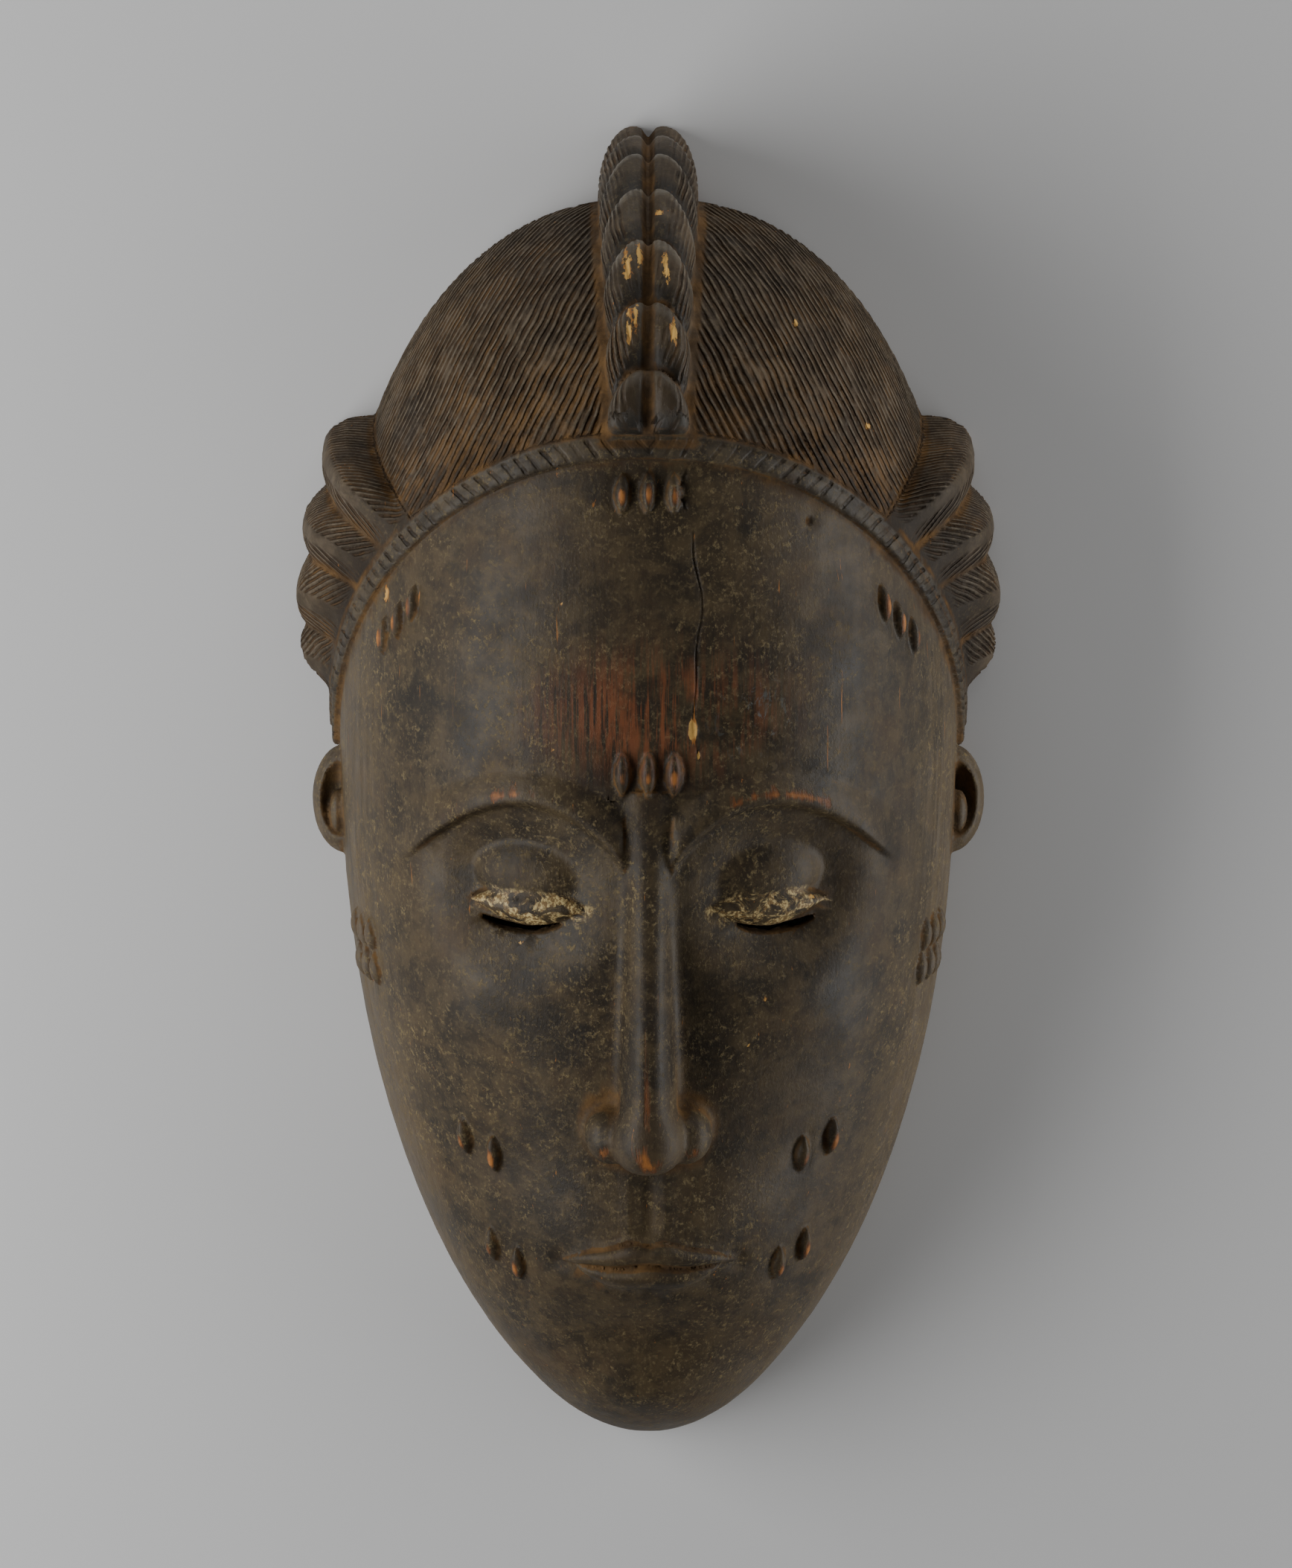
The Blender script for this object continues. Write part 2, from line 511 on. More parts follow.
# ---------------------------------------------------------------- skin of the field
def surface_net(step):
    lo = np.array([-101.0, -190.0, -3.0])
    hi = np.array([101.0, 197.0, 112.0])
    n = np.ceil((hi - lo) / step).astype(int) + 1
    axes = [lo[i] + step * np.arange(n[i]) + 0.0137 for i in range(3)]
    V = np.empty(n)
    for i in range(n[0]):
        Y, Z = np.meshgrid(axes[1], axes[2], indexing="ij")
        P = np.stack([np.full(Y.size, axes[0][i]), Y.ravel(), Z.ravel()], -1)
        far = egg_distance(P[:, 0], P[:, 1], P[:, 2])
        v = np.where(far > 0, 5.0, 5.0)
        k = np.flatnonzero((far < 34) & (far > -22) & (P[:, 2] > -3.5))
        v[k] = field(P[k])
        V[i] = v.reshape(Y.shape)
    inside = V < 0
    # a vertex in each cell that the skin passes
    total = np.zeros(tuple(n - 1) + (3,))
    count = np.zeros(tuple(n - 1))
    corner = lambda A, i, j, k: A[i:n[0] - 1 + i, j:n[1] - 1 + j, k:n[2] - 1 + k]
    for axis in range(3):
        for u in (0, 1):
            for w in (0, 1):
                c0 = [0, 0, 0]
                others = [i for i in range(3) if i != axis]
                c0[others[0]], c0[others[1]] = u, w
                c1 = list(c0)
                c1[axis] = 1
                A, B = corner(V, *c0), corner(V, *c1)
                cross = (A < 0) != (B < 0)
                with np.errstate(divide="ignore", invalid="ignore"):
                    f = np.where(cross, A / (A - B), 0)
                for ax in range(3):
                    total[..., ax] += np.where(cross, (f if ax == axis else c0[ax]), 0)
                count += cross
    live = count > 0
    index = -np.ones(live.shape, int)
    index[live] = np.arange(live.sum())
    ijk = np.argwhere(live)
    verts = lo + 0.0137 + step * (ijk + total[live] / count[live][:, None])
    quads = []
    for axis in range(3):
        o = [i for i in range(3) if i != axis]
        sl = [slice(1, n[i] - 1) for i in range(3)]
        sl[axis] = slice(0, n[axis] - 1)
        A = inside[tuple(sl)]
        s2 = list(sl)
        s2[axis] = slice(1, n[axis])
        B = inside[tuple(s2)]
        at = np.argwhere(A != B)
        flip = A[A != B]
        base = at.copy()
        for i in o:
            base[:, i] += 1
        def cell(du, dw):
            c = base.copy()
            c[:, o[0]] += du
            c[:, o[1]] += dw
            return index[c[:, 0], c[:, 1], c[:, 2]]
        q = np.stack([cell(-1, -1), cell(0, -1), cell(0, 0), cell(-1, 0)], -1)
        out = flip if axis != 1 else ~flip
        q[~out] = q[~out][:, ::-1]
        quads.append(q)
    quads = np.concatenate(quads)
    # split each quad on its shorter diagonal
    d0 = np.linalg.norm(verts[quads[:, 0]] - verts[quads[:, 2]], axis=1)
    d1 = np.linalg.norm(verts[quads[:, 1]] - verts[quads[:, 3]], axis=1)
    first = d0 <= d1
    T = np.where(first[:, None], quads[:, [0, 1, 2]], quads[:, [0, 1, 3]])
    U = np.where(first[:, None], quads[:, [0, 2, 3]], quads[:, [1, 2, 3]])
    return verts, np.concatenate([T, U])


def settle(P, rounds=3):
    """Moves points onto the skin."""
    for _ in range(rounds):
        f = in_chunks(field, P)
        G = gradient(P)
        g2 = np.maximum((G * G).sum(-1), 0.09)
        move = -(f / g2)[:, None] * G
        size = np.linalg.norm(move, axis=1)
        P = P + move * np.minimum(1, 0.7 / np.maximum(size, 1e-9))[:, None]
    return P


def edges_of(T):
    E = np.sort(np.concatenate([T[:, [0, 1]], T[:, [1, 2]], T[:, [2, 0]]]), axis=1)
    key = E[:, 0].astype(np.int64) * (T.max() + 1) + E[:, 1]
    _, first, inverse = np.unique(key, return_index=True, return_inverse=True)
    return E[first], inverse.reshape(3, -1).T


def split(P, T, want):
    """One round of longest-edge splitting wherever an edge is longer than wanted."""
    E, F = edges_of(T)
    L = np.linalg.norm(P[E[:, 0]] - P[E[:, 1]], axis=1)
    mark = L > want((P[E[:, 0]] + P[E[:, 1]]) / 2)
    longest = np.argmax(L[F], axis=1)
    rows = np.arange(len(F))
    while True:
        some = mark[F].any(axis=1) & ~mark[F[rows, longest]]
        if not some.any():
            break
        mark[F[rows, longest][some]] = True
    if not mark.any():
        return P, T, 0
    new = -np.ones(len(E), int)
    new[mark] = len(P) + np.arange(mark.sum())
    mids = (P[E[mark][:, 0]] + P[E[mark][:, 1]]) / 2
    # turn each triangle so that its longest edge comes first
    order = (longest[:, None] + np.arange(3)) % 3
    V, G = np.take_along_axis(T, order, 1), np.take_along_axis(F, order, 1)
    m0, m1, m2 = new[G[:, 0]], new[G[:, 1]], new[G[:, 2]]
    a, b, c = V.T
    out = [T[m0 < 0]]
    s = m0 >= 0
    left, right = s & (m2 >= 0), s & (m1 >= 0)
    k = s & ~left
    out.append(np.stack([a[k], m0[k], c[k]], -1))
    k = left
    out += [np.stack([a[k], m0[k], m2[k]], -1), np.stack([m2[k], m0[k], c[k]], -1)]
    k = s & ~right
    out.append(np.stack([m0[k], b[k], c[k]], -1))
    k = right
    out += [np.stack([m0[k], b[k], m1[k]], -1), np.stack([m0[k], m1[k], c[k]], -1)]
    return np.concatenate([P, mids]), np.concatenate(out), int(mark.sum())


def zones(P):
    """Wanted edge length at each point."""
    x, y, z = P.T
    a = np.abs(x)
    f0 = egg_distance(x, y, z)
    t, s, high, _ = ring_frame(x, y, z)
    L = np.full(len(P), 2.6)
    outer = in_chunks(hollow, P) > 1.2
    face = outer & (t < 0) & (z > 3)
    L[face] = 1.7
    near = face & (((np.abs(a - EYE_X) < 25) & (np.abs(y - EYE_Y) < 20)) | ((a < 20) & (y < BROW_Y) & (y > NOSE_Y - 6)) | ((a < 29) & (np.abs(y - MOUTH_Y) < 14)) | ((np.abs(y - brow_line(a)) < 7) & (a < 70)))
    L[near] = 1.15
    for at, axes, size in MARKS:
        L[((P - at) ** 2).sum(-1) < 49] = 0.95
    L[outer & (t > 0) & (z > 0.5)] = 0.62
    L[(np.abs(t + 1.5) < 4) & outer] = 0.62
    L[(a > 85) & (t < 0) & (z > 0.5)] = 1.1
    crack = face & (np.abs(x - crack_x(y)) < 1.6) & (y > 10) & (y < 92)
    L[crack] = 0.6
    return L


def crack_x(y):
    return 14.5 + 1.2 * np.sin(y / 9.0) + 0.5 * np.sin(y / 3.7 + 1) - 0.02 * y


ALPHA = math.radians(12)


# ---------------------------------------------------------------- noise
def hash3(i, j, k, seed):
    h = (i * 374761393 + j * 668265263 + k * 2147483647 + seed * 974634777) & 0xFFFFFFFF
    h = ((h ^ (h >> 13)) * 1274126177) & 0xFFFFFFFF
    return ((h ^ (h >> 16)) & 0xFFFFFF) / float(0xFFFFFF)


def noise(P, scale, seed=0):
    """Smooth value noise, -1 to 1."""
    Q = P / scale
    I = np.floor(Q).astype(np.int64)
    f = Q - I
    f = f * f * (3 - 2 * f)
    out = 0
    for dx in (0, 1):
        for dy in (0, 1):
            for dz in (0, 1):
                w = (f[:, 0] if dx else 1 - f[:, 0]) * (f[:, 1] if dy else 1 - f[:, 1]) * (f[:, 2] if dz else 1 - f[:, 2])
                out = out + w * hash3(I[:, 0] + dx, I[:, 1] + dy, I[:, 2] + dz, seed)
    return out * 2 - 1


# ---------------------------------------------------------------- fine cuts
def groove(u, width):
    """Depth share of cuts at whole numbers of u, V-shaped, width as a share of the pitch."""
    d = np.abs(u - np.round(u))
    return np.clip(1 - d / width, 0, 1)


def seen(P):
    """Place in the picture of the camera's view, mm right and up of its middle."""
    q = P - np.array([0, 3.2, 15.0])
    depth = 2600 - (q[:, 1] * math.sin(ALPHA) + q[:, 2] * math.cos(ALPHA))
    k = 2600 / depth
    return q[:, 0] * k, (q[:, 1] * math.cos(ALPHA) - q[:, 2] * math.sin(ALPHA)) * k


# spots where the dark skin is worn or chipped off: right, up, half sizes, dent depth
CHIPS = [(-6.1, 146.3, 1.2, 5.0, 0.15), (-2.6, 149.4, 0.8, 3.8, 0.1), (5.0, 145.8, 1.4, 4.0, 0.1), (-5.4, 129.0, 1.2, 6.0, 0.15),
         (-3.5, 132.0, 0.7, 4.5, 0.1), (7.3, 128.0, 1.2, 3.4, 0.1), (3.4, 161.4, 1.5, 0.8, 0.1), (41.5, 130.4, 1.0, 1.3, 0.45),
         (-73.7, 53.7, 0.9, 2.3, 0.5), (12.6, 15.6, 1.5, 3.0, 0.4), (14.0, 8.5, 0.6, 1.6, 0.3), (-27.0, 10.0, 0.5, 1.3, 0.2),
         (62.0, 101.5, 0.9, 1.0, 0.4), (-24.0, 52.0, 0.4, 1.2, 0.1), (46.0, -31.0, 0.8, 0.9, 0.2), (33.0, -60.0, 0.7, 0.8, 0.2),
         (37.5, -66.0, 0.6, 0.9, 0.2), (28.0, -73.0, 0.5, 0.7, 0.2), (41.0, -51.0, 0.5, 1.0, 0.2), (-36.0, -44.0, 0.5, 0.6, 0.2)]
HOLE = (45.4, 74.6, 0.9, 1.3)


def fine(P, N):
    """Depth of the fine cuts below the skin, mm, and masks for the looks."""
    x, y, z = P.T
    a = np.abs(x)
    f0 = egg_distance(x, y, z)
    t, s, high, _ = ring_frame(x, y, z)
    ss, wide = braid_frame(t, s)
    m, n = crest_frame(np.clip(y, GY0 + 1, GY0 + GN - 2), np.clip(z, GZ0 + 1, GZ0 + GM - 2))
    in_wall = in_chunks(hollow, P) < 1.2
    outer = (N[:, 2] > -0.35) & ~in_wall & (z > 0.4)
    grow = smooth(0, 95, m)
    W = lerp(CREST_HALF[0], CREST_HALF[1], grow)
    crest = outer & (a < W + 1.5) & (n > 2.2) & (y > 100) & (m > 0)
    hair = outer & (t > 0.8) & ~crest
    braid = hair & (ss < EDGES[0] - 0.6) & (high > HAIR_RISE - 0.4) & (a > 30)
    dome = hair & ~braid
    D = np.zeros(len(P))
    cut = np.zeros(len(P))
    left = (x > 0).astype(np.int64)
    # dome: long strokes from the crest down to the hairline
    q = P - np.array([0, 60.0, 0])
    r = np.linalg.norm(q, axis=1)
    side = np.arcsin(np.clip(np.abs(q[:, 0]) / r, 0, 1))
    along = np.arctan2(q[:, 1], q[:, 2])
    wob = 0.42 * noise(P, 19.0, 3) + 0.16 * noise(P, 6.0, 4)
    u = (along * 95 + 1.8 * np.abs(q[:, 0])) / 4.25 + wob
    row = np.round(u).astype(np.int64)
    zero = 0 * row
    reach_ = side * 95 / 24 + 3.1 * hash3(row, left, zero, 8)
    piece = np.floor(reach_).astype(np.int64)
    deep = 0.5 + 0.42 * hash3(row, left, piece, 5)
    gap = smooth(0.0, 0.09, np.abs(reach_ - np.round(reach_)))
    edge = smooth(0.8, 2.6, t) * smooth(W + 0.6, W + 3.0, a + (n > 8) * 9) * smooth(0, 1.6, np.abs(ss - EDGES[0]) + (ss < EDGES[0]) * 9)
    env = deep * (0.4 + 0.6 * gap) * (0.95 + 0.45 * noise(P, 7.0, 6)) * edge
    D += np.where(dome, groove(u, 0.40) ** 1.2 * env, 0)
    line_at, line_deep = np.where(dome, u, 0.0), np.where(dome, env, 0.0)
    # braids: herringbone, across the upper flank of each lobe and nearly along the lower one
    v = np.zeros(len(P))
    for i in range(4):
        hi, lo = EDGES[i], EDGES[i + 1]
        inlobe = braid & (ss <= hi) & (ss > lo)
        v = (ss - lerp(lo, hi, 0.46)) / (hi - lo) * wide
        w = np.where(v > 0, (t + 0.42 * np.abs(v)) / 1.95, (t + 2.6 * np.abs(v)) / 4.6) + 0.16 * noise(P, 7.0, 7 + i)
        w_row = np.round(w).astype(np.int64)
        part_ = np.abs(v) / np.maximum(wide, 4)
        ends = smooth(0, 1.3, np.minimum(hi - ss, ss - lo)) * np.where(v > 0, smooth(0.03, 0.14, part_), smooth(0.10, 0.22, part_)) * smooth(2.0, 8.0, t)
        env = (0.55 + 0.4 * hash3(w_row, left, (v > 0).astype(np.int64) + 2 * i, 11)) * ends * (0.9 + 0.35 * noise(P, 6.0, 70 + i))
        D += np.where(inlobe, groove(w, 0.40) * env * 0.85, 0)
        line_at, line_deep = np.where(inlobe, w, line_at), np.where(inlobe, env, line_deep)
    # crest: strokes run lengthwise on the flanks, shallow on the backs
    shape = m + CREST_ARCH * np.minimum(a / W, 1.1) ** 2
    q = np.mod(shape / CREST_PITCH, 1.0)
    lobe = np.floor(shape / CREST_PITCH).astype(np.int64)
    turn = np.arctan2(n / np.maximum(lerp(CREST_HIGH[0], CREST_HIGH[1], grow), 1), a / W)
    w = turn * lerp(6.5, 10.0, grow) + 0.7 * hash3(lobe, left, 0 * lobe, 9) + 0.2 * noise(P, 5.0, 12)
    w_row = np.round(w).astype(np.int64)
    flank = (1 - smooth(0.7, 1.3, turn)) * 0.75 + 0.25
    env = (0.22 + 0.5 * hash3(w_row, left, lobe, 13)) * flank * smooth(0.05, 0.25, q) * (1 - smooth(0.93, 1.0, q)) * (0.8 + 0.6 * noise(P, 4.0, 14)) * smooth(2.2, 4.0, n)
    env = np.clip(env, 0, 1)
    D += np.where(crest, groove(w, 0.34) * env, 0)
    line_at, line_deep = np.where(crest, w, line_at), np.where(crest, env, line_deep)
    # band: slanting nicks
    onband = outer & (np.abs(t + 1.5) < 3.0) & (f0 > 0.7)
    w = (s + 0.75 * (t + 1.5)) / 4.3 + 0.16 * noise(P, 8.0, 15)
    env = (0.12 + 0.42 * hash3(np.round(w).astype(np.int64), left, zero, 16)) * (1 - smooth(1.5, 2.4, np.abs(t + 1.5)))
    D += np.where(onband, groove(w, 0.2) * env * 0.5, 0)
    line_at, line_deep = np.where(onband, w, line_at), np.where(onband, env, line_deep)
    # knife facets and slight unevenness of the smooth face
    face = outer & (t < -3.5)
    D += np.where(face, 0.13 * noise(P, 13.0, 20) + 0.06 * noise(P, 4.5, 21), 0.0)
    D += np.where(hair | crest, 0.12 * noise(P, 9.0, 22) + 0.08 * noise(P, 3.0, 23), 0.0)
    # old cracks down the forehead and beside the marks
    line = np.exp(-(((x - crack_x(y)) / 0.38) ** 2)) * smooth(16, 28, y) * (1 - smooth(84, 100, y)) * (0.6 + 0.55 * noise(P, 9.0, 30))
    second = np.exp(-(((x - 9.6 - 0.9 * np.sin(y / 2.1)) / 0.35) ** 2)) * smooth(96, 99, y) * (1 - smooth(106, 109, y))
    line = np.clip(line + second, 0, 1)
    D += np.where(face & (z > 60), 0.8 * line, 0)
    cut = np.where(face & (z > 60), np.maximum(cut, line), cut)
    # chips, and one small hole by the band
    pu, pv = seen(P)
    chip = np.zeros(len(P))
    facing = outer & (N[:, 2] > 0.15)
    for cu, cv, ru, rv, deep_ in CHIPS:
        k = np.flatnonzero(facing & (np.abs(pu - cu) < 3 * ru) & (np.abs(pv - cv) < 2 * rv))
        if len(k):
            rough = 0.45 * noise(P[k] * np.array([3.0, 0.7, 1.0]), 1.7, 31)
            e = np.clip(1.1 * np.exp(-((pu[k] - cu) / ru) ** 2 - ((pv[k] - cv) / rv) ** 2) * (1 + rough), 0, 1)
            chip[k] = np.maximum(chip[k], e)
            D[k] += deep_ * smooth(0.3, 0.7, e)
    k = np.flatnonzero(facing & (np.hypot((pu - HOLE[0]) / HOLE[2], (pv - HOLE[1]) / HOLE[3]) < 1.2))
    if len(k):
        e = smooth(1.1, 0.6, np.hypot((pu[k] - HOLE[0]) / HOLE[2], (pv[k] - HOLE[1]) / HOLE[3]))
        D[k] += 1.2 * e
        cut[k] = np.maximum(cut[k], e)
    # hollow: short gouge scallops
    inner = in_wall & (z > 0.6)
    hx = np.arctan2(x, z) * 9.0 + 0.3 * noise(P, 30.0, 41)
    col = np.round(hx)
    hy = y / 17.0 + hash3(col.astype(np.int64), zero, zero, 42)
    scoop = (1 - (2 * np.abs(hx - col)) ** 2) * (1 - np.abs(2 * np.abs(hy - np.round(hy))) ** 2 * 0.8)
    D += np.where(inner, -0.95 * (scoop - 0.5) * smooth(0.6, 5, z) + 0.22 * noise(P, 6.0, 40), 0)
    return D, dict(cut=cut, hair=hair | crest, crest=crest, braid=braid, dome=dome, face=face, inner=inner | (z < 0.6), outer=outer,
                   t=t, s=s, ss=ss, m=m, n=n, turn=turn, q=q, f0=f0, chip=chip, high=high, pu=pu, pv=pv,
                   line=line_at, deep=line_deep, onband=onband, scoop=scoop)


say("tables ready")
P, T = surface_net(1.6)
say("net", len(P), len(T))
P = settle(P, 3)
say("settled")
for _round in range(8):
    before = len(P)
    P, T, n_split = split(P, T, zones)
    if not n_split:
        break
    P[before:] = settle(P[before:], 2)
say("refined", len(P), len(T))
G = gradient(P)
N = G / np.maximum(np.linalg.norm(G, axis=1), 1e-9)[:, None]
D, _ = fine(P, N)
P = P - N * D[:, None]
say("cut")

mesh = bpy.data.meshes.new("mask_carving")
mesh.vertices.add(len(P))
mesh.vertices.foreach_set("co", P.astype(np.float32).ravel())
mesh.loops.add(len(T) * 3)
mesh.loops.foreach_set("vertex_index", T.astype(np.int32).ravel())
mesh.polygons.add(len(T))
mesh.polygons.foreach_set("loop_start", (np.arange(len(T)) * 3).astype(np.int32))
mesh.update(calc_edges=True)
mesh.validate()
carving = bpy.data.objects.new("mask_carving", mesh)
bpy.context.scene.collection.objects.link(carving)
LIMIT = 190000
if len(T) > LIMIT:
    dec = carving.modifiers.new("thin", "DECIMATE")
    dec.ratio = LIMIT / len(T)
    graph = bpy.context.evaluated_depsgraph_get()
    thin = bpy.data.meshes.new_from_object(carving.evaluated_get(graph))
    carving.modifiers.clear()
    carving.data = thin
    mesh = thin
say("thinned", len(mesh.vertices), len(mesh.polygons))

# ---------------------------------------------------------------- looks by place
P = np.empty(len(mesh.vertices) * 3, np.float32)
mesh.vertices.foreach_get("co", P)
P = P.reshape(-1, 3).astype(float)
G = gradient(P, 0.25)
N = G / np.maximum(np.linalg.norm(G, axis=1), 1e-9)[:, None]
_, look = fine(P, N)


def shade_of(radius):
    """How much of the space in front of the skin is taken, 0 open to 1 closed."""
    return np.clip(1 - in_chunks(field, P + N * radius) / radius, 0, 1)


deep2, deep5, deep11 = shade_of(1.6), shade_of(4.5), shade_of(10.0)
cavity = np.clip(0.75 * smooth(0.12, 0.75, deep2) + 0.7 * smooth(0.1, 0.6, deep5) + 0.4 * smooth(0.15, 0.7, deep11), 0, 1)
proud = np.clip(in_chunks(field, P + N * -1.6) / -1.6, 0, 1)  # thin above a high spot
sharp = np.clip(1 - proud, 0, 1)
say("shades")


def attribute(name, values, limit=True):
    if limit:
        values = np.clip(values, 0, 1)
    layer = mesh.attributes.new(name, "FLOAT", "POINT")
    layer.data.foreach_set("value", values.astype(np.float32))


x, y, z = P.T
a = np.abs(x)
pu, pv = look["pu"], look["pv"]
soft = 0.5 + 0.5 * noise(P * np.array([1.0, 0.35, 1.0]), 2.2, 50)
patchy = 0.5 + 0.5 * noise(P, 11.0, 51)
# where hands and cloth have rubbed the skin off: brows, nose tip and wings, lips, marks
d_brow = (y - brow_line(a)) / np.sqrt(1 + (brow_line(a + 0.5) - brow_line(a - 0.5)) ** 2)
streaky = np.clip(0.5 + 0.75 * noise(P * np.array([1.0, 0.3, 0.3]), 2.6, 52) + 0.4 * noise(P, 14.0, 53), 0, 1)
rub = 0.85 * np.exp(-(((d_brow - 1.5) / 1.8) ** 2)) * smooth(12, 24, a) * (1 - smooth(50, 66, a)) * (z > 50) * (0.25 + 0.75 * streaky)
tip_z = float(skin_z(np.float64(0), np.float64(NOSE_Y + 4))) + 19
ragged = np.clip(0.5 + 0.9 * noise(P * np.array([1.0, 0.45, 1.0]), 1.9, 54) + 0.3 * noise(P, 5.0, 55), 0, 1)
rub = np.maximum(rub, 0.95 * np.exp(-((x / 4.6) ** 2 + ((y - NOSE_Y - 4) / 7.0) ** 2)) * (z > tip_z - 9) * (0.3 + 0.7 * ragged))
rub = np.maximum(rub, 0.75 * np.exp(-((x / 1.8) ** 2)) * smooth(NOSE_Y, NOSE_Y + 14, y) * (1 - smooth(BROW_Y - 50, BROW_Y - 30, y)) * (z > tip_z - 14) * patchy)
rub = np.maximum(rub, 0.8 * np.exp(-(((a - 12.2) / 2.6) ** 2 + ((y - NOSE_Y - 3.5) / 2.8) ** 2)) * (z > tip_z - 16))
for at, axes, size in MARKS:
    k = np.flatnonzero(((P - at) ** 2).sum(-1) < 60)
    q = (P[k] - at) @ axes.T
    amount = (0.72 + 0.5 * hash3(np.int64(abs(int(at[0] * 7))), np.int64(abs(int(at[1] * 3))), np.int64(at[0] > 0), 60)) if at[2] > 55 else 0.35
    rub[k] = np.maximum(rub[k], amount * np.exp(-((q[:, 0] / 1.3) ** 2 + ((q[:, 1] + 0.8) / 3.4) ** 2)))
rub *= look["face"] & look["outer"]
ridge_i = np.zeros(len(P))
for i in range(4):
    mid = (EDGES[i] + EDGES[i + 1]) / 2
    ridge_i = np.maximum(ridge_i, np.exp(-(((look["ss"] - mid) / 1.6) ** 2)))
rub = np.maximum(rub, 0.35 * ridge_i * look["braid"] * smooth(6, 16, look["t"]) * patchy)
wear = np.clip(np.maximum(rub, 0.62 * np.sqrt(look["chip"]) * (look["crest"] > 0)), 0, 1)
warm = np.exp(-(((x - 3) / 30) ** 2 + ((y - 41) / 15) ** 2) ** 1.6) * look["face"] * look["outer"]
scuff = np.exp(-(((x - 29) / 10) ** 2 + ((y - 40) / 9) ** 2) ** 1.3) * look["face"] * look["outer"]
q = (np.stack([a, y, z], -1) - EYE_P) @ EYE_AXES.T
bulge = 1 - (q[:, 0] / 18.6) ** 2
lens = smooth(1.02, 0.86, np.abs((q[:, 1] + 6.2 - 0.0) / np.maximum(5.6 * bulge, 0.3))) * (np.abs(q[:, 0]) < 18.0) * (q[:, 2] > -1) * (q[:, 2] < 12)
side_lines = np.maximum(np.exp(-(((look["t"] - 1.7) / 1.0) ** 2)), 0.8 * np.exp(-(((look["t"] + 4.5) / 0.9) ** 2)))
side_lines = side_lines * (np.abs(look["f0"]) < 5) * look["outer"] * (0.35 + 0.65 * patchy)
seams = np.zeros(len(P))
for i in range(4):
    seams = np.maximum(seams, np.exp(-(((look["ss"] - EDGES[i]) / (1.7 if i else 1.3)) ** 2)))
seams *= look["hair"] * ~look["crest"] * (look["t"] > 0) * (0.4 + 0.6 * patchy) * (a > 30)
grow = smooth(0, 95, look["m"])
foot = np.exp(-(((a - lerp(CREST_HALF[0], CREST_HALF[1], grow) - 0.8) / 1.3) ** 2)) * (y > 100) * (look["n"] < 4) * (look["t"] > 0) * look["outer"]
middle_line = np.exp(-((a / 1.5) ** 2)) * look["crest"] * (0.7 + 0.3 * patchy)
cavity = np.maximum.reduce([cavity * np.where(look["hair"] > 0, 0.62, 0.8), 0.9 * side_lines, 0.85 * seams, 0.95 * foot, 0.95 * middle_line])
attribute("cavity", cavity)
attribute("cut", look["cut"])
attribute("line", look["line"], False)
attribute("lobe", np.where(look["crest"], smooth(0.05, 0.95, look["q"]), 0.5))
attribute("upper", look["crest"] * smooth(18, 62, look["m"]))
ratio = a / np.maximum(half_width(y), 10)
attribute("pale", smooth(0.76, 0.97, ratio) * look["face"] * look["outer"])
attribute("dust", (1 - smooth(5, 34, look["t"])) * look["dome"])
attribute("deep", look["deep"])
attribute("band", look["onband"].astype(float))
attribute("low", (1 - smooth(2, 15, look["t"])) * look["hair"] * (1 - 0.7 * look["crest"]) * smooth(20, 60, a))
attribute("sharp", sharp)
attribute("hair", look["hair"].astype(float))
attribute("crest", look["crest"].astype(float))
attribute("inner", look["inner"].astype(float))
attribute("gouge", smooth(-0.2, 0.9, look["scoop"]) * smooth(0.6, 5, z))
attribute("wear", wear)
attribute("chip", look["chip"])
attribute("warm", warm)
attribute("scuff", scuff)
attribute("pigment", lens * look["outer"])

P[:, 1] += SHIFT
P *= 0.001
mesh.vertices.foreach_set("co", P.astype(np.float32).ravel())
mesh.update()
for poly in (mesh.polygons,):
    poly.foreach_set("use_smooth", np.ones(len(mesh.polygons), bool))

# ---------------------------------------------------------------- wood
wood = bpy.data.materials.new("dark_wood")
wood.use_nodes = True
tree = wood.node_tree
bsdf = tree.nodes["Principled BSDF"]
coord = tree.nodes.new("ShaderNodeTexCoord").outputs["Object"]


def put(socket, value):
    if isinstance(value, bpy.types.NodeSocket):
        tree.links.new(value, socket)
    elif isinstance(value, (tuple, list)) and len(value) == 3 and socket.type == "RGBA":
        socket.default_value = (*value, 1)
    else:
        socket.default_value = value


def math_node(kind, a, b=0.0, clamp=False):
    n = tree.nodes.new("ShaderNodeMath")
    n.operation, n.use_clamp = kind, clamp
    put(n.inputs[0], a)
    put(n.inputs[1], b)
    return n.outputs[0]


def times(*parts):
    out = parts[0]
    for p in parts[1:]:
        out = math_node("MULTIPLY", out, p)
    return out


def plus(*parts):
    out = parts[0]
    for p in parts[1:]:
        out = math_node("ADD", out, p)
    return math_node("MINIMUM", math_node("MAXIMUM", out, 0.0), 1.0)


def minus(value):
    return math_node("SUBTRACT", 1.0, value, True)


def ramp(value, lo, hi, out_lo=0.0, out_hi=1.0):
    n = tree.nodes.new("ShaderNodeMapRange")
    n.interpolation_type = "SMOOTHSTEP"
    put(n.inputs["Value"], value)
    put(n.inputs["From Min"], lo)
    put(n.inputs["From Max"], hi)
    put(n.inputs["To Min"], out_lo)
    put(n.inputs["To Max"], out_hi)
    return n.outputs[0]


